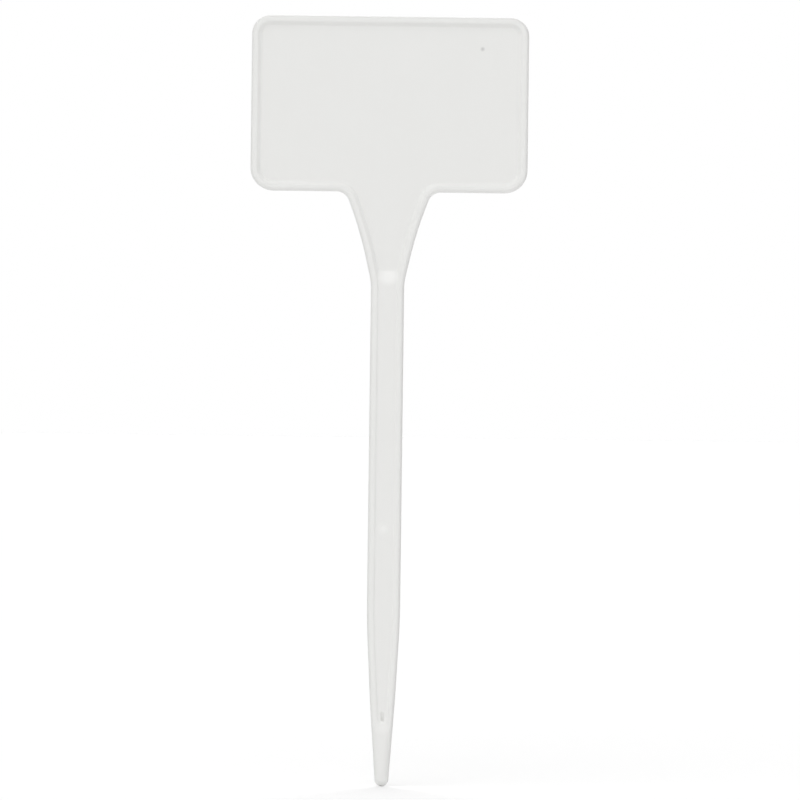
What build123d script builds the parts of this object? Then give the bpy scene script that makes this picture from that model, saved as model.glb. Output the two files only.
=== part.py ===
# Plant label stake: a flat T-shaped garden label, moulded in one piece from white plastic.
# A raised bead runs round the writing panel, follows the flared neck and becomes the two edge ribs
# of the stem. The ribs close above a solid point. The moulding is modelled whole and then divided
# along its own feature lines into regions that meet face to face.
# Frame: +Z up the stem, front towards -Y, mirror plane X = 0, origin at the soil line in the middle
# of the stem. Sizes are in millimetres.

import os
from math import atan, cos, radians, tan

from build123d import *

# Length from end to end, and the part of it that stands above the soil line
overall_length = 250.0
length_above_soil = 160.0

# Head
head_width = 90.0
head_height = 57.0
head_top_radius = 6.0
head_bottom_radius = 7.5

# Flared neck, with widths at its top and at the bend in its sides. A gentle bend is given by its run,
# the length that it takes up on each side of its corner.
neck_height = 29.3
neck_top_width = 27.9
neck_top_radius = 4.0
neck_bend_height = 16.1
neck_bend_width = 18.1
neck_bend_run = 7.5
neck_bottom_run = 2.0

# Stem, with its taper down to the round nose of the point. The taper bends inwards part of the way down,
# at a height above the tip.
stem_width = 10.8
taper_length = 53.6
shoulder_run = 5.5
taper_bend_height = 28.0
taper_bend_width = 8.2
taper_bend_run = 4.0
nose_width = 4.5
nose_thickness = 2.3
nose_flat = 0.1

# Point: its front edges round off within a short length below the groove's end
point_round_length = 4.5
point_edge_radius = 2.1

# Section: heights are measured from the flat back
bead_thickness = 2.8
panel_thickness = 1.7
stem_floor_thickness = 2.35
side_draft = 8.0
outer_edge_radius = 1.1
back_chamfer = 0.3
crest_flat = 0.55
crest_rounding = 0.45
foot_rounding = 0.45
bead_slope = 45.0

# Ramp in the neck's floor, up to the shallower groove of the stem. It starts with a tight bend and
# runs out into the stem's floor with a long one.
ramp_above_stem = 3.9
ramp_length = 2.6
ramp_start_run = 0.5
ramp_end_run = 1.7

# Lower end of the groove's floor, the solid land below it, and the sunken gate mark
groove_end_flat = 0.2
groove_end_radius = 0.375
groove_end_land = 1.0
gate_length = 3.2
gate_width = 1.1
gate_depth = 0.4
gate_setback = 0.3

# Where the regions meet: strip of flat panel kept on the rim, and lengths below the head and the ramp
panel_strip = 0.4
rim_tail = 4.5
neck_tail = 4.7

# Heights along the label
head_bottom = length_above_soil - head_height
neck_bottom = head_bottom - neck_height
tip = length_above_soil - overall_length
shoulder = tip + taper_length
taper_bend = tip + taper_bend_height
nose_radius = nose_width / 2
nose_centre = tip + nose_radius
nose_edge_radius = min(nose_radius, nose_thickness - back_chamfer) - nose_flat
ramp_top = neck_bottom + ramp_above_stem
ramp_bottom = ramp_top - ramp_length

# Bead: widths from the outline to its crest, to the inner edge of the crest, to its foot and to the
# flat panel. slope_run is the slope's width per millimetre of height, round_run the width of a rounding
# per millimetre of its radius. The stem's short slope limits both roundings. The sides lean in from the
# top of the back's chamfer, where the outline is measured.
side_run = tan(radians(side_draft))
outer_round_run = tan(radians((90 - side_draft) / 2))
outer_width = (bead_thickness - back_chamfer) * side_run + outer_edge_radius * outer_round_run
slope_run = tan(radians(bead_slope))
round_run = tan(radians((90 - bead_slope) / 2))
recess_depth = bead_thickness - panel_thickness
stem_slope = (bead_thickness - stem_floor_thickness) / cos(radians(bead_slope))
rounding_limit = 0.45 * stem_slope / round_run
crest_radius = min(crest_rounding, rounding_limit)
foot_radius = min(foot_rounding, rounding_limit)
crest_width = outer_width + crest_flat + crest_radius * round_run
foot_width = crest_width + recess_depth * slope_run
panel_inset = foot_width + foot_radius * round_run + panel_strip
flat_enough = cos(radians((90 - bead_slope) / 2))

# Taper below its bend: half the width gained per millimetre of height, and the heights at which the
# groove closes at the panel's level, on the stem's floor and at the crest
taper_rate = (taper_bend_width - nose_width) / 2 / (taper_bend - nose_centre)
foot_across_taper = foot_width / cos(atan(taper_rate))
groove_end_half = groove_end_flat / 2 + groove_end_radius
groove_end = nose_centre + (groove_end_half + foot_across_taper - nose_radius) / taper_rate
groove_floor_end = groove_end - (stem_floor_thickness - panel_thickness) * slope_run
groove_crest_end = groove_end - recess_depth * slope_run
gate_centre = groove_floor_end + gate_setback + gate_length / 2
point_top = groove_crest_end - groove_end_land
point_round = point_top - point_round_length
point_top_width = nose_width + 2 * taper_rate * (point_top - nose_centre)
point_round_width = point_top_width - 2 * taper_rate * point_round_length
point_thinning = (bead_thickness - nose_thickness) / (point_top - nose_centre)
point_round_thickness = bead_thickness - point_thinning * point_round_length

# Planes from back to front, and the cuts between the regions
back = Plane.XZ.offset(-bead_thickness / 2)
panel_face = back.offset(panel_thickness)
stem_floor = back.offset(stem_floor_thickness)
rim_cut = Plane.XY.offset(head_bottom - rim_tail)
neck_cut = Plane.XY.offset(ramp_bottom - neck_tail)
point_cut = Plane.XY.offset(point_top)
point_round_cut = Plane.XY.offset(point_round)
nose_cut = Plane.XY.offset(nose_centre)

# Radius of a bend that takes up a given run on each side of its corner
def bend_radius(before, corner, after, run):
    turn = (Vector(corner) - Vector(before)).get_angle(Vector(after) - Vector(corner))
    return run / tan(radians(turn / 2))


# Outline of the blade: the corners of its right side, from the top down, and their radii
right_corners = [
    (head_width / 2, length_above_soil),
    (head_width / 2, head_bottom),
    (neck_top_width / 2, head_bottom),
    (neck_bend_width / 2, neck_bottom + neck_bend_height),
    (stem_width / 2, neck_bottom),
    (stem_width / 2, shoulder),
    (taper_bend_width / 2, taper_bend),
    (nose_radius, nose_centre),
]
corner_radii = [
    head_top_radius,
    head_bottom_radius,
    neck_top_radius,
    bend_radius(*right_corners[2:5], neck_bend_run),
    bend_radius(*right_corners[3:6], neck_bottom_run),
    bend_radius(*right_corners[4:7], shoulder_run),
    bend_radius(*right_corners[5:8], taper_bend_run),
    0,
]
left_corners = [(-x, z) for x, z in reversed(right_corners)]
head_corners = right_corners[:2] + left_corners[-2:]
head_radii = corner_radii[:2] + corner_radii[1::-1]

with BuildSketch(back) as outline:
    with BuildLine():
        FilletPolyline(*right_corners, *left_corners, radius=corner_radii + corner_radii[::-1], close=True)
    make_face()

# Floor of the recess: the outline drawn in to the foot of the bead, down to the end of the groove
with BuildSketch(panel_face) as recess_floor:
    add(outline.sketch_local)
    split(bisect_by=Plane((0, groove_end - foot_width, 0), z_dir=(0, 1, 0)))
    offset(amount=-foot_width)
    fillet(recess_floor.vertices().group_by(Axis.Y)[0], groove_end_radius)

# Recess: all that is open in front of the panel, less the step up to the stem's floor
ramp_corners = [
    (panel_face.origin.Y, head_bottom),
    (panel_face.origin.Y, ramp_top),
    (stem_floor.origin.Y, ramp_bottom),
    (stem_floor.origin.Y, tip),
]
ramp_radii = [
    bend_radius(*ramp_corners[:3], ramp_start_run),
    bend_radius(*ramp_corners[1:], ramp_end_run),
]
with BuildPart() as recess:
    extrude(recess_floor.sketch, amount=recess_depth, taper=-bead_slope)
    with BuildSketch(Plane.YZ):
        with BuildLine():
            ramp_line = FilletPolyline(*ramp_corners, radius=ramp_radii)
            Polyline(ramp_line @ 1, (back.origin.Y, tip), (back.origin.Y, head_bottom), ramp_line @ 0)
        make_face()
    extrude(amount=neck_top_width, both=True, mode=Mode.SUBTRACT)
    floors = recess.faces().filter_by(lambda face: face.normal_at(face.center()).Y > flat_enough)
    feet = floors.edges().filter_by(Axis.X, reverse=True)
    fillet(feet, foot_radius)

# Blade: head, neck and stem in one
with BuildPart() as blade:
    extrude(outline.sketch, amount=bead_thickness)
    sides = blade.faces().filter_by(Plane.XZ, reverse=True)
    draft(sides, back.offset(back_chamfer), side_draft)
    fillet(blade.faces().sort_by(Axis.Y)[0].edges(), outer_edge_radius)
    chamfer(blade.faces().sort_by(Axis.Y)[-1].edges(), back_chamfer)
    add(recess.part, mode=Mode.SUBTRACT)
    crest = blade.faces().sort_by(Axis.Y)[0]
    fillet(crest.inner_wires()[0].edges(), crest_radius)
    with BuildSketch(stem_floor):
        with Locations((0, gate_centre)):
            SlotOverall(gate_length, gate_width, rotation=90)
    extrude(amount=-gate_depth, mode=Mode.SUBTRACT)

# Writing panel: the flat web inside the bead of the head
with BuildPart() as writing_panel:
    add(blade.part)
    with BuildSketch(back) as panel_outline:
        with BuildLine():
            FilletPolyline(*head_corners, radius=head_radii, close=True)
        make_face()
        offset(amount=-panel_inset)
    extrude(amount=bead_thickness, mode=Mode.INTERSECT)
writing_panel.part.label = "writing_panel"

# Head rim: the flange and bead round the panel, with the mouth of the neck
with BuildPart() as head_rim:
    add(blade.part)
    split(bisect_by=rim_cut, keep=Keep.TOP)
    add(writing_panel.part, mode=Mode.SUBTRACT)
head_rim.part.label = "head_rim"

# Neck: the flare, with the ramp in its floor
with BuildPart() as neck:
    add(blade.part)
    split(bisect_by=rim_cut, keep=Keep.BOTTOM)
    split(bisect_by=neck_cut, keep=Keep.TOP)
neck.part.label = "neck"

# Stem: the ribbed bar and its taper, down to the end of the groove
with BuildPart() as stem:
    add(blade.part)
    split(bisect_by=neck_cut, keep=Keep.BOTTOM)
    split(bisect_by=point_cut, keep=Keep.TOP)
stem.part.label = "stem"

# Point: a solid taper whose front edges round off more towards the nose
def point_section(plane, width, thickness, front_radius):
    with BuildSketch(plane) as section:
        with Locations((0, (bead_thickness - thickness) / 2)):
            Trapezoid(width + 2 * back_chamfer * side_run, thickness, 90 - side_draft, rotation=180)
        fillet(section.vertices().group_by(Axis.Y)[0], front_radius)
        chamfer(section.vertices().group_by(Axis.Y)[-1], back_chamfer)
    return section


top_section = point_section(point_cut, point_top_width, bead_thickness, outer_edge_radius)
round_section = point_section(point_round_cut, point_round_width, point_round_thickness, point_edge_radius)
nose_section = point_section(nose_cut, nose_width, nose_thickness, nose_edge_radius)

with BuildPart() as point:
    loft([top_section.sketch, round_section.sketch, nose_section.sketch], ruled=True)
    with BuildSketch(nose_cut):
        add(nose_section.sketch_local)
        split(bisect_by=Plane.YZ, keep=Keep.TOP)
    revolve(axis=Axis(nose_cut.origin, (0, 1, 0)), revolution_arc=180)
point.part.label = "point"

os.makedirs("parts", exist_ok=True)
for piece in (writing_panel, head_rim, neck, stem, point):
    export_step(piece.part, f"parts/{piece.part.label}.step")
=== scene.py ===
from math import cos, pi, radians, sin, sqrt, tan

import bmesh
import bpy
from mathutils import Matrix, Vector


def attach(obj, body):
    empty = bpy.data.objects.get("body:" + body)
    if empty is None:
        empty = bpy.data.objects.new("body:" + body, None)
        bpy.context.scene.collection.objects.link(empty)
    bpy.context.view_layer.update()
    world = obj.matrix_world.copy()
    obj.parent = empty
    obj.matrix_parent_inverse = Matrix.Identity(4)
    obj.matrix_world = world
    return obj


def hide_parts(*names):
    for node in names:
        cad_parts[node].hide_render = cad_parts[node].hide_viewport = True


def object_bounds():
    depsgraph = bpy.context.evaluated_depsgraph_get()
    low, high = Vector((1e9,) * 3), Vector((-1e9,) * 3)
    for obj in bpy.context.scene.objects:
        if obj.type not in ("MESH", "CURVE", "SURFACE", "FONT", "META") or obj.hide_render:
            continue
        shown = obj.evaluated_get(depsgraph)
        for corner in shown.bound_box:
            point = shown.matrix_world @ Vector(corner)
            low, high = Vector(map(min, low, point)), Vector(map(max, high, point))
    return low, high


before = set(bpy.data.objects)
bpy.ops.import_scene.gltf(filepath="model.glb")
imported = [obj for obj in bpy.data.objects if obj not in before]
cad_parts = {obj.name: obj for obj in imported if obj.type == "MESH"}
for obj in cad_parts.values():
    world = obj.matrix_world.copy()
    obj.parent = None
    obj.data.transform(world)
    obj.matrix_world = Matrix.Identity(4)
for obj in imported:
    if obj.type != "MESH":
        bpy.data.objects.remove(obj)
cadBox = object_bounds()
print("frame:", ", ".join(sorted(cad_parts)))

# Plant label stake, one white moulding. Its blade is modelled whole, in millimetres from the soil line
# (x to the right, z up the stem, the front towards -y), and then cut where the CAD nodes meet.
metres = 0.001
touching = 0.0001   # a cut goes through a vertex that lies this near to it
up = Vector((0, 0, 1))

bead = {   # thicknesses are measured from the flat back, angles in degrees from straight in
    "thickness": 2.8, "panelThickness": 1.7, "stemFloor": 2.35, "draft": 8, "land": 0.05,
    "outerRadius": 1.1, "outerSteps": 7, "backRadius": 0.3, "backSteps": 3,
    "crestFlat": 0.446, "slope": 45, "rounding": 0.7, "roundingSteps": 4, "flatEdge": 0.08,
}
ramp = {   # down from the panel's level to the stem's floor, which is nearer to the front
    "top": 77.55, "bottom": 75.2, "startRun": 0.4, "endRun": 1.7, "steps": 18, "touching": 0.002,
}
backLevel = bead["thickness"] / 2
crestLevel = -backLevel
shallow, deep = bead["thickness"] - bead["stemFloor"], bead["thickness"] - bead["panelThickness"]

# distances from the outline: to the outer rounding and its crest, and to both ends of the inner slope
lean = radians(bead["draft"])
sideDepth = bead["thickness"] - bead["backRadius"] - bead["land"]
sideRun = (sideDepth - bead["outerRadius"] * (1 - sin(lean))) * tan(lean)
crestStart = sideRun + bead["outerRadius"] * cos(lean)
slopeRun = tan(radians(bead["slope"]))
blend = bead["rounding"] * tan(radians(90 - bead["slope"]) / 2)   # rounding's reach along crest and floor
blendIn = blend * sin(radians(bead["slope"]))                     # and its reach over the slope
crestEdge = crestStart + bead["crestFlat"] + blend
stemFoot, panelFoot = crestEdge + shallow * slopeRun, crestEdge + deep * slopeRun


def soften(x, run):   # 0 below zero and x above it, with the corner rounded over run on each side
    return 0 if x < -run else x if x > run else (x + run) ** 2 / (4 * run)


def floorDepth(z):   # how far the floor lies below the crest
    rate = (deep - shallow) / (ramp["top"] - ramp["bottom"])
    above, beyond = soften(z - ramp["bottom"], ramp["endRun"]), soften(z - ramp["top"], ramp["startRun"])
    return shallow + rate * (above - beyond)


def beadDepth(inset, z):   # depth below the crest at a distance from the outline
    radius, curve, floor = bead["outerRadius"], bead["rounding"], floorDepth(z)
    foot = crestEdge + floor * slopeRun
    if inset < sideRun:
        return sideDepth - inset / tan(lean)
    if inset < crestStart:
        return radius - sqrt(radius ** 2 - (crestStart - inset) ** 2)
    if inset < crestEdge - blend:
        return 0
    if inset < crestEdge + blendIn:
        return curve - sqrt(curve ** 2 - (inset - crestEdge + blend) ** 2)
    if inset < foot - blendIn:
        return (inset - crestEdge) / slopeRun
    if inset < foot + blend:
        return floor - curve + sqrt(curve ** 2 - (foot + blend - inset) ** 2)
    return floor


def steps(start, end, count):
    return [start + (end - start) * i / count for i in range(1, count + 1)]


def allOf(bm):
    return [*bm.verts, *bm.edges, *bm.faces]


def roundCorners(bm, verts, run, count):
    bmesh.ops.bevel(bm, geom=verts, offset=run, offset_type="OFFSET", segments=count, profile=0.5,
                    affect="VERTICES", material=-1, clamp_overlap=False)


def insetFace(bm, face, thickness, depth=0):
    bmesh.ops.inset_region(bm, faces=[face], thickness=thickness, depth=depth,
                           use_boundary=True, use_even_offset=True)


def drawIn(bm, face, distances):   # rings round a face, each keeping its distance from the outline
    inset = bm.verts.layers.float["inset"]
    for distance in distances:
        insetFace(bm, face, distance - face.verts[0][inset])
        for v in face.verts:
            v[inset] = distance


def cutFace(bm, face, at, normal=up):   # cuts one face, and gives its lower and its upper part
    cut = bmesh.ops.bisect_plane(bm, geom=[face, *face.edges, *face.verts], dist=touching,
                                 plane_co=at, plane_no=normal)
    parts = [part for part in cut["geom"] if isinstance(part, bmesh.types.BMFace)]
    return sorted(parts, key=lambda part: max(v.co.z for v in part.verts))


headRim = {"width": 90.0, "top": 160.0, "bottom": 103.0, "topRadius": 6.0, "bottomRadius": 7.5,
           "cornerSteps": 12, "lowerEnd": 98.5}
panel = {"inset": 3.73, "backRingEnd": 30.0}
neck = {"topWidth": 27.9, "topRun": 2.78, "bendWidth": 18.1, "bendHeight": 89.8, "bendRun": 7.5,
        "bottom": 73.7, "bottomRun": 2.0, "bendSteps": 8, "floorEnd": 70.7, "lowerEnd": 70.3}
stem = {"width": 10.8, "shoulder": -36.4, "shoulderRun": 5.5, "bend": -62.0, "bendWidth": 8.2,
        "bendRun": 4.0, "bendSteps": 6, "bladeEnd": -75.0, "lowerEnd": -70.68,
        "grooveCentre": -68.2, "grooveRadius": 0.3, "grooveFlat": 0.253, "grooveSteps": 4}
point = {"width": 4.5, "thickness": 2.3, "centre": -87.75, "roundLength": 4.5, "roundRadius": 2.1,
         "roundSteps": 5, "noseRadius": 1.9, "noseSteps": 20, "near": 0.001, "weld": 0.002}
taper = (stem["bendWidth"] - point["width"]) / 2 / (stem["bend"] - point["centre"])


def taperHalf(z):   # half the width of the taper below its bend
    return point["width"] / 2 + taper * (z - point["centre"])


def outlineBlade(bm):
    half = headRim["width"] / 2
    corners = [   # x, z, the length that the rounding takes up on each side, and its segments
        (half, headRim["top"], headRim["topRadius"], headRim["cornerSteps"]),
        (half, headRim["bottom"], headRim["bottomRadius"], headRim["cornerSteps"]),
        (neck["topWidth"] / 2, headRim["bottom"], neck["topRun"], neck["bendSteps"]),
        (neck["bendWidth"] / 2, neck["bendHeight"], neck["bendRun"], neck["bendSteps"]),
        (stem["width"] / 2, neck["bottom"], neck["bottomRun"], neck["bendSteps"]),
        (stem["width"] / 2, stem["shoulder"], stem["shoulderRun"], stem["bendSteps"]),
        (stem["bendWidth"] / 2, stem["bend"], stem["bendRun"], stem["bendSteps"]),
        (taperHalf(stem["bladeEnd"]), stem["bladeEnd"], 0, 0),
    ]
    level = backLevel - bead["backRadius"]
    right = [bm.verts.new((x, level, z)) for x, z, run, count in corners]
    left = [bm.verts.new((-x, level, z)) for x, z, run, count in corners]
    bm.faces.new(right + left[::-1])
    for pair, (x, z, run, count) in zip(zip(right, left), corners):
        if run:
            roundCorners(bm, list(pair), run, count)
    return next(iter(bm.faces))


def raiseBlade():
    bm = bmesh.new()
    inset = bm.verts.layers.float.new("inset")
    back = outlineBlade(bm)
    grown = bmesh.ops.extrude_face_region(bm, geom=[back])["geom"]
    front = next(part for part in grown if isinstance(part, bmesh.types.BMFace))
    bmesh.ops.translate(bm, vec=(0, -bead["land"], 0), verts=front.verts)
    back = max(bm.faces, key=lambda face: face.calc_center_median().y)
    bmesh.ops.recalc_face_normals(bm, faces=bm.faces)
    for v in bm.verts:
        v[inset] = -1   # the back and its edge keep their level
    for v in front.verts:
        v[inset] = 0

    # back edge, rounded in a few insets, and a ring as far in as the panel's edge
    turn = radians(90 / bead["backSteps"])
    for i in range(bead["backSteps"]):
        insetFace(bm, back, bead["backRadius"] * (cos(i * turn) - cos((i + 1) * turn)),
                  bead["backRadius"] * (sin((i + 1) * turn) - sin(i * turn)))
    _, upperBack = cutFace(bm, back, up * panel["backRingEnd"])
    insetFace(bm, upperBack, panel["inset"] - bead["backRadius"])

    # drafted side, outer rounding and crest of the bead, all the way round
    turns = [lean + (pi / 2 - lean) * i / bead["outerSteps"] for i in range(bead["outerSteps"] + 1)]
    drawIn(bm, front, [crestStart - bead["outerRadius"] * cos(turn) for turn in turns])
    drawIn(bm, front, [crestEdge - blend])

    # the groove closes in a round end above the point
    middle = up * stem["grooveCentre"]
    reach = stem["grooveRadius"] + panelFoot - crestEdge + blend
    _, front = cutFace(bm, front, middle - up * reach)
    for side in (1, -1):
        for turn in steps(0, pi / 2, stem["grooveSteps"])[:-1]:
            out = Vector((side * sin(turn), 0, -cos(turn)))
            at = middle + Vector((side * stem["grooveFlat"] / 2, 0, 0)) + out * reach
            _, front = cutFace(bm, front, at, out)

    # inner slope and foot: first to the stem's floor, then on to the deeper panel in the neck and head
    count = bead["roundingSteps"]
    drawIn(bm, front, steps(crestEdge - blend, crestEdge + blendIn, count))
    drawIn(bm, front, [stemFoot - blendIn, *steps(stemFoot - blendIn, stemFoot + blend, count)])
    drawIn(bm, front, [stemFoot + blend + bead["flatEdge"]])
    stemFloor, front = cutFace(bm, front, up * neck["floorEnd"])
    drawIn(bm, front, steps(panelFoot - blendIn, panelFoot + blend, count))
    drawIn(bm, front, [panelFoot + blend + bead["flatEdge"], panel["inset"]])

    # the panel's own outline, on both sides
    for face in (front, upperBack):
        _, web = cutFace(bm, face, up * (headRim["bottom"] + panel["inset"]))
        web.material_index = 1

    low, high = ramp["bottom"] - ramp["endRun"], ramp["top"] + ramp["startRun"]
    for z in [low, *steps(low, high, ramp["steps"])]:
        bmesh.ops.bisect_plane(bm, geom=allOf(bm), dist=ramp["touching"], plane_co=up * z, plane_no=up)
    for v in bm.verts:
        if v[inset] >= 0:
            v.co.y = crestLevel + beadDepth(v[inset], v.co.z)
    return bm, stemFloor


ejectorMark = {"low": -7.9, "high": -4.7, "width": 3.2, "sink": 0.06, "rise": 0}
gateMark = {"low": -68.8, "high": -65.7, "width": 1.0, "sink": 0.8, "rise": 0.66}
pit = {"sides": 32, "wall": 0.08, "floorEdge": 0.05, "margin": 1.2}   # what the two marks share


def sinkMark(bm, floor, mark):   # a round-ended mark in a flat floor
    inset = bm.verts.layers.float["inset"]
    level, floorInset, radius = floor.verts[0].co.y, floor.verts[0][inset], mark["width"] / 2
    place = Matrix.Translation((0, level, mark["low"] + radius)) @ Matrix.Rotation(pi / 2, 4, "X") \
        @ Matrix.Rotation(pi / pit["sides"], 4, "Z")
    ring = bmesh.ops.create_circle(bm, segments=pit["sides"], radius=radius, matrix=place)["verts"]
    for v in ring:
        v[inset] = floorInset
    bmesh.ops.translate(bm, vec=(0, 0, mark["high"] - mark["low"] - mark["width"]),
                        verts=[v for v in ring if v.co.z > mark["low"] + radius])
    ringEdges = list(dict.fromkeys(e for v in ring for e in v.link_edges))
    border = floor.edges[:]
    bmesh.ops.delete(bm, geom=[floor], context="FACES_ONLY")
    bmesh.ops.triangle_fill(bm, use_beauty=True, edges=border + ringEdges)
    bottom = bmesh.ops.contextual_create(bm, geom=ringEdges)["faces"][0]
    bottom.normal_update()
    if bottom.normal.y > 0:
        bottom.normal_flip()
    insetFace(bm, bottom, pit["wall"], -mark["sink"])
    for v in bottom.verts:   # shallower towards the upper end
        v.co.y -= mark["rise"] * (v.co.z - mark["low"]) / (mark["high"] - mark["low"])
    bottom.normal_update()
    insetFace(bm, bottom, pit["floorEdge"])


def markStem(bm, floor):
    lower, _ = cutFace(bm, floor, up * (ejectorMark["high"] + pit["margin"]))
    lower, around = cutFace(bm, lower, up * (ejectorMark["low"] - pit["margin"]))
    lower, _ = cutFace(bm, lower, up * (gateMark["high"] + pit["margin"]))
    sinkMark(bm, around, ejectorMark)
    sinkMark(bm, lower, gateMark)


def liftPanel(bm):   # takes the panel out of the blade, and closes both along the panel's edge
    web = bm.copy()
    for mesh, keep in ((web, 1), (bm, 0)):
        others = [face for face in mesh.faces if face.material_index != keep]
        bmesh.ops.delete(mesh, geom=others, context="FACES")
        bmesh.ops.bridge_loops(mesh, edges=[edge for edge in mesh.edges if edge.is_boundary])
        for face in mesh.faces:
            face.material_index = 0
    return web


def sliceBlade(bm, low, high):
    piece = bm.copy()
    for z, side in ((low, 1), (high, -1)):
        if z is not None:
            cut = bmesh.ops.bisect_plane(piece, geom=allOf(piece), dist=touching, plane_co=up * z,
                                         plane_no=up * side, clear_inner=True)
            rim = [part for part in cut["geom_cut"] if isinstance(part, bmesh.types.BMEdge)]
            bmesh.ops.edgeloop_fill(piece, edges=rim)
    return piece


def pointSection(bm, z, half, thickness, frontRadius):   # a closed loop of edges across the point
    backEdge = bead["backRadius"] + bead["land"]
    frontHalf = half - tan(lean) * (thickness - backEdge)
    right = [(half, backLevel), (half, backLevel - backEdge), (frontHalf, backLevel - thickness)]
    verts = [bm.verts.new((x, y, z)) for x, y in right + [(-x, y) for x, y in reversed(right)]]
    bm.faces.new(verts)
    roundCorners(bm, verts[::5], bead["backRadius"], bead["backSteps"])
    roundCorners(bm, verts[2:4], frontRadius * tan((pi / 2 - lean) / 2), bead["outerSteps"])
    bmesh.ops.delete(bm, geom=bm.faces[:], context="FACES_ONLY")


def shapePoint():
    bm = bmesh.new()
    top = stem["lowerEnd"]
    thinning = (bead["thickness"] - point["thickness"]) / (top - point["centre"])
    sections = [(top, bead["outerRadius"])]
    for share in steps(0, 1, point["roundSteps"]):   # the front edges soon grow rounder
        rounder = share * share * (3 - 2 * share) * (point["roundRadius"] - bead["outerRadius"])
        sections.append((top - share * point["roundLength"], bead["outerRadius"] + rounder))
    sections.append((point["centre"], point["noseRadius"]))
    for z, radius in sections:
        pointSection(bm, z, taperHalf(z), bead["thickness"] - thinning * (top - z), radius)
    bmesh.ops.bisect_plane(bm, geom=allOf(bm), dist=touching, plane_co=(0, 0, 0), plane_no=(1, 0, 0))
    loops = [[edge for edge in bm.edges if abs(edge.verts[0].co.z - z) < point["near"]] for z, _ in sections]
    for upper, lower in zip(loops, loops[1:]):
        bmesh.ops.bridge_loops(bm, edges=upper + lower)
    bmesh.ops.edgeloop_fill(bm, edges=loops[0])
    # the round nose: the right half of the last section, turned through half a circle
    profile = [edge for edge in loops[-1] if min(v.co.x for v in edge.verts) > -point["near"]]
    turned = bmesh.ops.duplicate(bm, geom=profile)["geom"]
    bmesh.ops.spin(bm, geom=turned, cent=up * point["centre"], axis=(0, 1, 0), angle=pi,
                   steps=point["noseSteps"])
    bmesh.ops.remove_doubles(bm, verts=bm.verts, dist=point["weld"])
    return bm


def addNode(tree, kind, inputs={}, **settings):
    node = tree.nodes.new(kind)
    for name, value in settings.items():
        setattr(node, name, value)
    for name, value in inputs.items():
        if isinstance(value, bpy.types.NodeSocket):
            tree.links.new(value, node.inputs[name])
        else:
            node.inputs[name].default_value = value
    return node


def addMath(tree, operation, a, b):
    return addNode(tree, "ShaderNodeMath", {0: a, 1: b}, operation=operation).outputs[0]


def addRange(tree, value, start, end, low, high):   # low up to start, high from end on
    ends = {"From Min": start, "From Max": end, "To Min": low, "To Max": high}
    return addNode(tree, "ShaderNodeMapRange", {"Value": value, **ends}).outputs[0]


def addMix(tree, mask, colour, other):
    return addNode(tree, "ShaderNodeMix", {0: mask, 6: colour, 7: other}, data_type="RGBA").outputs[2]


# Skin of the moulding: a fine spark-eroded grain that is stronger on the floors than on the polished bead,
# a slight orange peel, faint flow lines along the stem and a slow mottling of the white
skin = {
    "grainSize": 0.00016, "peelSize": 0.0011, "flowWidth": 0.0022, "flowStretch": 0.06, "mottleSize": 0.017,
    "beadGrain": 0.35, "beadRoughness": 0.62, "floorRoughness": 0.68, "grainSpread": 0.08, "flowSpread": 0.06,
    "flowShare": 0.3, "peelShare": 0.5,
}


def buildSkin():
    group = bpy.data.node_groups.new("mouldedSkin", "ShaderNodeTree")
    face = group.interface
    face.new_socket("Floor", in_out="INPUT", socket_type="NodeSocketFloat")
    for name in ("Mottle", "Roughness", "Height"):
        face.new_socket(name, in_out="OUTPUT", socket_type="NodeSocketFloat")
    floorMask = addNode(group, "NodeGroupInput").outputs["Floor"]
    place = addNode(group, "ShaderNodeTexCoord").outputs["Object"]
    stretch = {"Vector": place, "Scale": (1, 1, skin["flowStretch"])}
    along = addNode(group, "ShaderNodeMapping", stretch).outputs["Vector"]

    def noise(vector, size, detail):
        inputs = {"Vector": vector, "Scale": 1 / size, "Detail": detail}
        return addNode(group, "ShaderNodeTexNoise", inputs).outputs["Fac"]

    def blendTwo(a, b, shareA, shareB):
        parts = [addMath(group, "MULTIPLY", value, share) for value, share in ((a, shareA), (b, shareB))]
        return addMath(group, "ADD", *parts)

    grain = noise(place, skin["grainSize"], 2)
    peel = noise(place, skin["peelSize"], 1)
    flow = noise(along, skin["flowWidth"], 2)
    mottle = noise(place, skin["mottleSize"], 3)
    tooth = addMath(group, "MULTIPLY", grain, addRange(group, floorMask, 0, 1, skin["beadGrain"], 1))
    satin = addRange(group, floorMask, 0, 1, skin["beadRoughness"], skin["floorRoughness"])
    spread = blendTwo(grain, flow, skin["grainSpread"], skin["flowSpread"])
    out = addNode(group, "NodeGroupOutput").inputs
    group.links.new(blendTwo(mottle, flow, 1 - skin["flowShare"], skin["flowShare"]), out["Mottle"])
    group.links.new(addMath(group, "ADD", satin, spread), out["Roughness"])
    group.links.new(blendTwo(tooth, peel, 1 - skin["peelShare"], skin["peelShare"]), out["Height"])
    return group


white = {
    "light": (0.808, 0.808, 0.794, 1), "shade": (0.792, 0.792, 0.776, 1), "specular": 0.15,
    "bump": 0.35, "grainDepth": 0.000012, "floorStart": 2.2, "floorFull": 2.6,   # the last two in mm of inset
}


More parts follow.
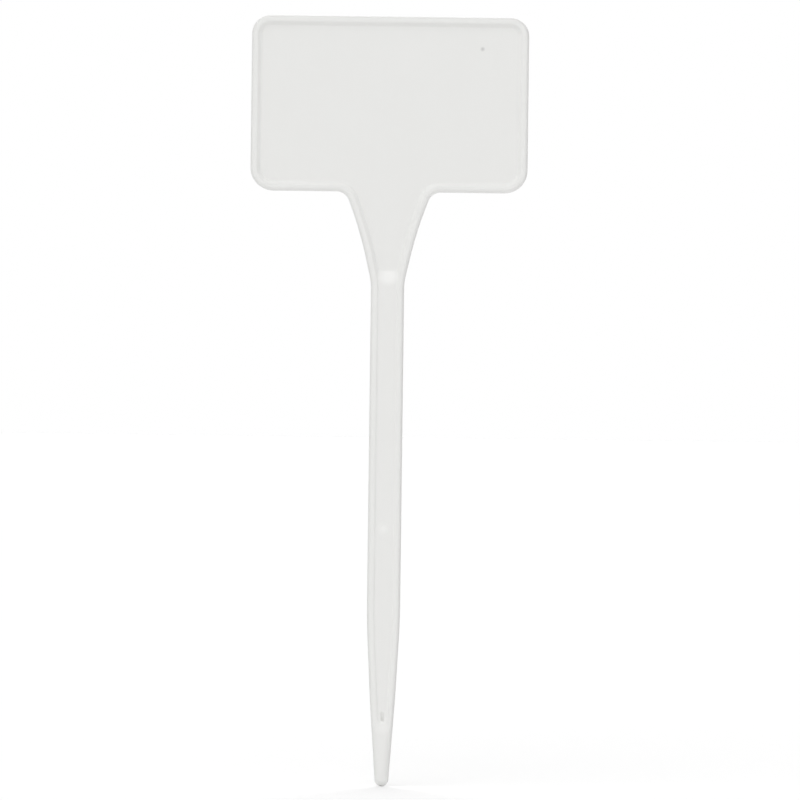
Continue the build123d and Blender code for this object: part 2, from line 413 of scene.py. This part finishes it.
def startFinish(name, group):   # a white skin, and the nodes that a finish goes on from
    finish = bpy.data.materials.new(name)
    finish.use_nodes = True
    tree = finish.node_tree
    shader = tree.nodes["Principled BSDF"]
    shader.inputs["Specular IOR Level"].default_value = white["specular"]
    inset = addNode(tree, "ShaderNodeAttribute", attribute_name="inset").outputs["Fac"]
    skinNode = addNode(tree, "ShaderNodeGroup", node_tree=group)
    floorMask = addRange(tree, inset, white["floorStart"], white["floorFull"], 0, 1)
    tree.links.new(floorMask, skinNode.inputs["Floor"])
    tone = addMix(tree, skinNode.outputs["Mottle"], white["shade"], white["light"])
    grain = {"Strength": white["bump"], "Distance": white["grainDepth"], "Height": skinNode.outputs["Height"]}
    tree.links.new(addNode(tree, "ShaderNodeBump", grain).outputs["Normal"], shader.inputs["Normal"])
    return finish, tree, shader, tone, skinNode


def spotMask(tree, spot):   # 1 within the spot's inner distance of its place, 0 beyond the outer one
    place = addNode(tree, "ShaderNodeTexCoord").outputs["Object"]
    away = addNode(tree, "ShaderNodeVectorMath", {0: place, 1: spot["place"]}, operation="DISTANCE")
    return addRange(tree, away.outputs["Value"], spot["inner"], spot["outer"], 1, 0)


speck = {"place": (0.0299, -0.0003, 0.1497), "inner": 0.0001, "outer": 0.0009, "grey": (0.58, 0.58, 0.57, 1)}


def finishPanel(group):   # the writing face, with one dark speck moulded in
    finish, tree, shader, tone, skinNode = startFinish("writingFace", group)
    tree.links.new(addMix(tree, spotMask(tree, speck), tone, speck["grey"]), shader.inputs["Base Color"])
    tree.links.new(skinNode.outputs["Roughness"], shader.inputs["Roughness"])
    return finish


gateBlush = {"place": (0, -0.00095, -0.0672), "inner": 0.001, "outer": 0.007, "gloss": 0.07}
# a paler round spot at the ejector pin mark
pinPaleSpot = {"place": (-0.0006, -0.00095, -0.0063), "inner": 0.0004, "outer": 0.0024,
            "white": (0.848, 0.848, 0.834, 1)}
rampPaintedHighlight = {"place": (0.0003, -0.0026, 0.0757), "inner": 0.0022, "outer": 0.0039,   # a painted highlight on the ramp, which faces up to the light; kept off the back
             "start": 0.0776, "fade": 0.0005, "white": (0.872, 0.872, 0.858, 1)}
# painted highlight round the groove's end below the gate, where the end wall faces up to the light
landPaintedHighlight = {"place": (0, -0.0014, -0.0711), "inner": 0.0005, "outer": 0.0024,
             "white": (0.84, 0.84, 0.826, 1)}


def rampHighlightMask(tree):   # painted highlight: starts sharply at the top of the ramp and fades down it
    place = addNode(tree, "ShaderNodeTexCoord").outputs["Object"]
    height = addNode(tree, "ShaderNodeSeparateXYZ", {0: place}).outputs["Z"]
    below = addRange(tree, height, rampPaintedHighlight["start"] - rampPaintedHighlight["fade"], rampPaintedHighlight["start"], 1, 0)
    return addMath(tree, "MULTIPLY", below, spotMask(tree, rampPaintedHighlight))


def finishBody(group):   # rim, neck, stem and point
    finish, tree, shader, tone, skinNode = startFinish("satinWhite", group)
    # glossier at the gate, a paler spot at the ejector pin mark, and painted highlights on the ramp and round
    # the groove's end below the gate, which face up to the light
    shine = addMath(tree, "MULTIPLY", spotMask(tree, gateBlush), gateBlush["gloss"])
    rough = addMath(tree, "SUBTRACT", skinNode.outputs["Roughness"], shine)
    tone = addMix(tree, spotMask(tree, pinPaleSpot), tone, pinPaleSpot["white"])
    # painted highlight on the up-facing ramp
    tone = addMix(tree, rampHighlightMask(tree), tone, rampPaintedHighlight["white"])
    # painted highlight round the groove's end
    tone = addMix(tree, spotMask(tree, landPaintedHighlight), tone, landPaintedHighlight["white"])
    tree.links.new(tone, shader.inputs["Base Color"])
    tree.links.new(rough, shader.inputs["Roughness"])
    return finish


sharpAngle = 32   # degrees between faces


def finishPiece(bm, name, node, finish):
    bmesh.ops.recalc_face_normals(bm, faces=bm.faces)
    bmesh.ops.scale(bm, vec=(metres, metres, metres), verts=bm.verts)
    mesh = bpy.data.meshes.new(name)
    bm.to_mesh(mesh)
    bm.free()
    mesh.shade_smooth()
    mesh.set_sharp_from_angle(angle=radians(sharpAngle))
    mesh.materials.append(finish)
    piece = bpy.data.objects.new(name, mesh)
    bpy.context.scene.collection.objects.link(piece)
    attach(piece, "root")
    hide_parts(node)
    print("piece:", name, len(mesh.polygons), "faces")


skinGroup = buildSkin()
writingFace, satinWhite = finishPanel(skinGroup), finishBody(skinGroup)
print("skin: grain of", round(skin["grainSize"] / metres, 3), "mm")

blade, stemFloor = raiseBlade()
markStem(blade, stemFloor)
finishPiece(liftPanel(blade), "panelWeb", "writing_panel", writingFace)
finishPiece(sliceBlade(blade, headRim["lowerEnd"], None), "rimBead", "head_rim", satinWhite)
finishPiece(sliceBlade(blade, neck["lowerEnd"], headRim["lowerEnd"]), "flaredNeck", "neck", satinWhite)
finishPiece(sliceBlade(blade, stem["lowerEnd"], neck["lowerEnd"]), "ribbedStem", "stem", satinWhite)
finishPiece(shapePoint(), "roundedPoint", "point", satinWhite)
blade.free()


view = {"lens": 221.8, "sensor": 36, "place": (0.0045, -1.6, 0.0355), "roll": -0.72}


def placeCamera():
    data = bpy.data.cameras.new("frontCamera")
    data.lens, data.sensor_width = view["lens"], view["sensor"]
    camera = bpy.data.objects.new("frontCamera", data)
    camera.location = view["place"]
    camera.rotation_euler = (pi / 2, radians(view["roll"]), 0)
    bpy.context.scene.collection.objects.link(camera)
    bpy.context.scene.camera = camera


def seenDirectly(tree):   # 1 for what the camera sees, straight or in a reflection
    path = addNode(tree, "ShaderNodeLightPath").outputs
    mirrored = addMath(tree, "MAXIMUM", path["Is Glossy Ray"], path["Is Transmission Ray"])
    return addMath(tree, "MAXIMUM", path["Is Camera Ray"], mirrored)


studio = {
    "front": 0.95, "sides": 0.1, "back": 0.75,            # levels of the fill
    "frontFade": (-0.35, 0.15), "backFade": (0.5, 0.9),   # and where they change, along y
    "floorSize": 15, "floorWhite": 0.93, "floorRoughness": 0.9, "floorGlow": 0.1,
    "lamps": {   # level, direction, and spread in degrees
        "softKey": (0.18, (-0.33, -0.45, 0.75), 50),
        "backLight": (0.4, (0, 0.7, 0.71), 50),
    },
}


def lightStudio():
    world = bpy.data.worlds.new("studio")
    bpy.context.scene.world = world
    world.use_nodes = True
    tree = world.node_tree
    backdrop = tree.nodes["Background"]
    backdrop.inputs["Color"].default_value = (1, 1, 1, 1)
    direction = addNode(tree, "ShaderNodeTexCoord").outputs["Generated"]
    towards = addNode(tree, "ShaderNodeSeparateXYZ", {0: direction}).outputs["Y"]
    ahead = addRange(tree, towards, *studio["frontFade"], studio["front"], studio["sides"])
    behind = addRange(tree, towards, *studio["backFade"], 0, studio["back"])
    level = addMath(tree, "ADD", ahead, behind)
    fill = addNode(tree, "ShaderNodeBackground", {"Color": (1, 1, 1, 1), "Strength": level}).outputs[0]
    mixed = addNode(tree, "ShaderNodeMixShader", {0: seenDirectly(tree), 1: fill, 2: backdrop.outputs[0]})
    tree.links.new(mixed.outputs[0], tree.nodes["World Output"].inputs["Surface"])

    for name, (strength, aim, spread) in studio["lamps"].items():
        lamp = bpy.data.lights.new(name, "SUN")
        lamp.angle = radians(spread)
        lamp.energy = strength * pi
        lampObject = bpy.data.objects.new(name, lamp)
        lampObject.rotation_euler = Vector(aim).to_track_quat("Z", "Y").to_euler()
        bpy.context.scene.collection.objects.link(lampObject)


def layFloor():
    bm = bmesh.new()
    bmesh.ops.create_grid(bm, x_segments=1, y_segments=1, size=studio["floorSize"],
                          matrix=Matrix.Translation((0, 0, cadBox[0][2])))
    mesh = bpy.data.meshes.new("paleFloor")
    bm.to_mesh(mesh)
    bm.free()
    paper = bpy.data.materials.new("palePaper")
    paper.use_nodes = True
    tree = paper.node_tree
    shader = tree.nodes["Principled BSDF"]
    level = studio["floorWhite"]
    shader.inputs["Base Color"].default_value = (level, level, level, 1)
    shader.inputs["Roughness"].default_value = studio["floorRoughness"]
    shader.inputs["Specular IOR Level"].default_value = 0
    shader.inputs["Emission Color"].default_value = (1, 1, 1, 1)
    glow = addMath(tree, "MULTIPLY", seenDirectly(tree), studio["floorGlow"])
    tree.links.new(glow, shader.inputs["Emission Strength"])
    mesh.materials.append(paper)
    floor = bpy.data.objects.new("paleFloor", mesh)
    bpy.context.scene.collection.objects.link(floor)


bpy.context.scene.view_settings.view_transform = "Standard"
placeCamera()
lightStudio()
layFloor()
print("studio: fill", studio["front"], "and lamps", ", ".join(studio["lamps"]))
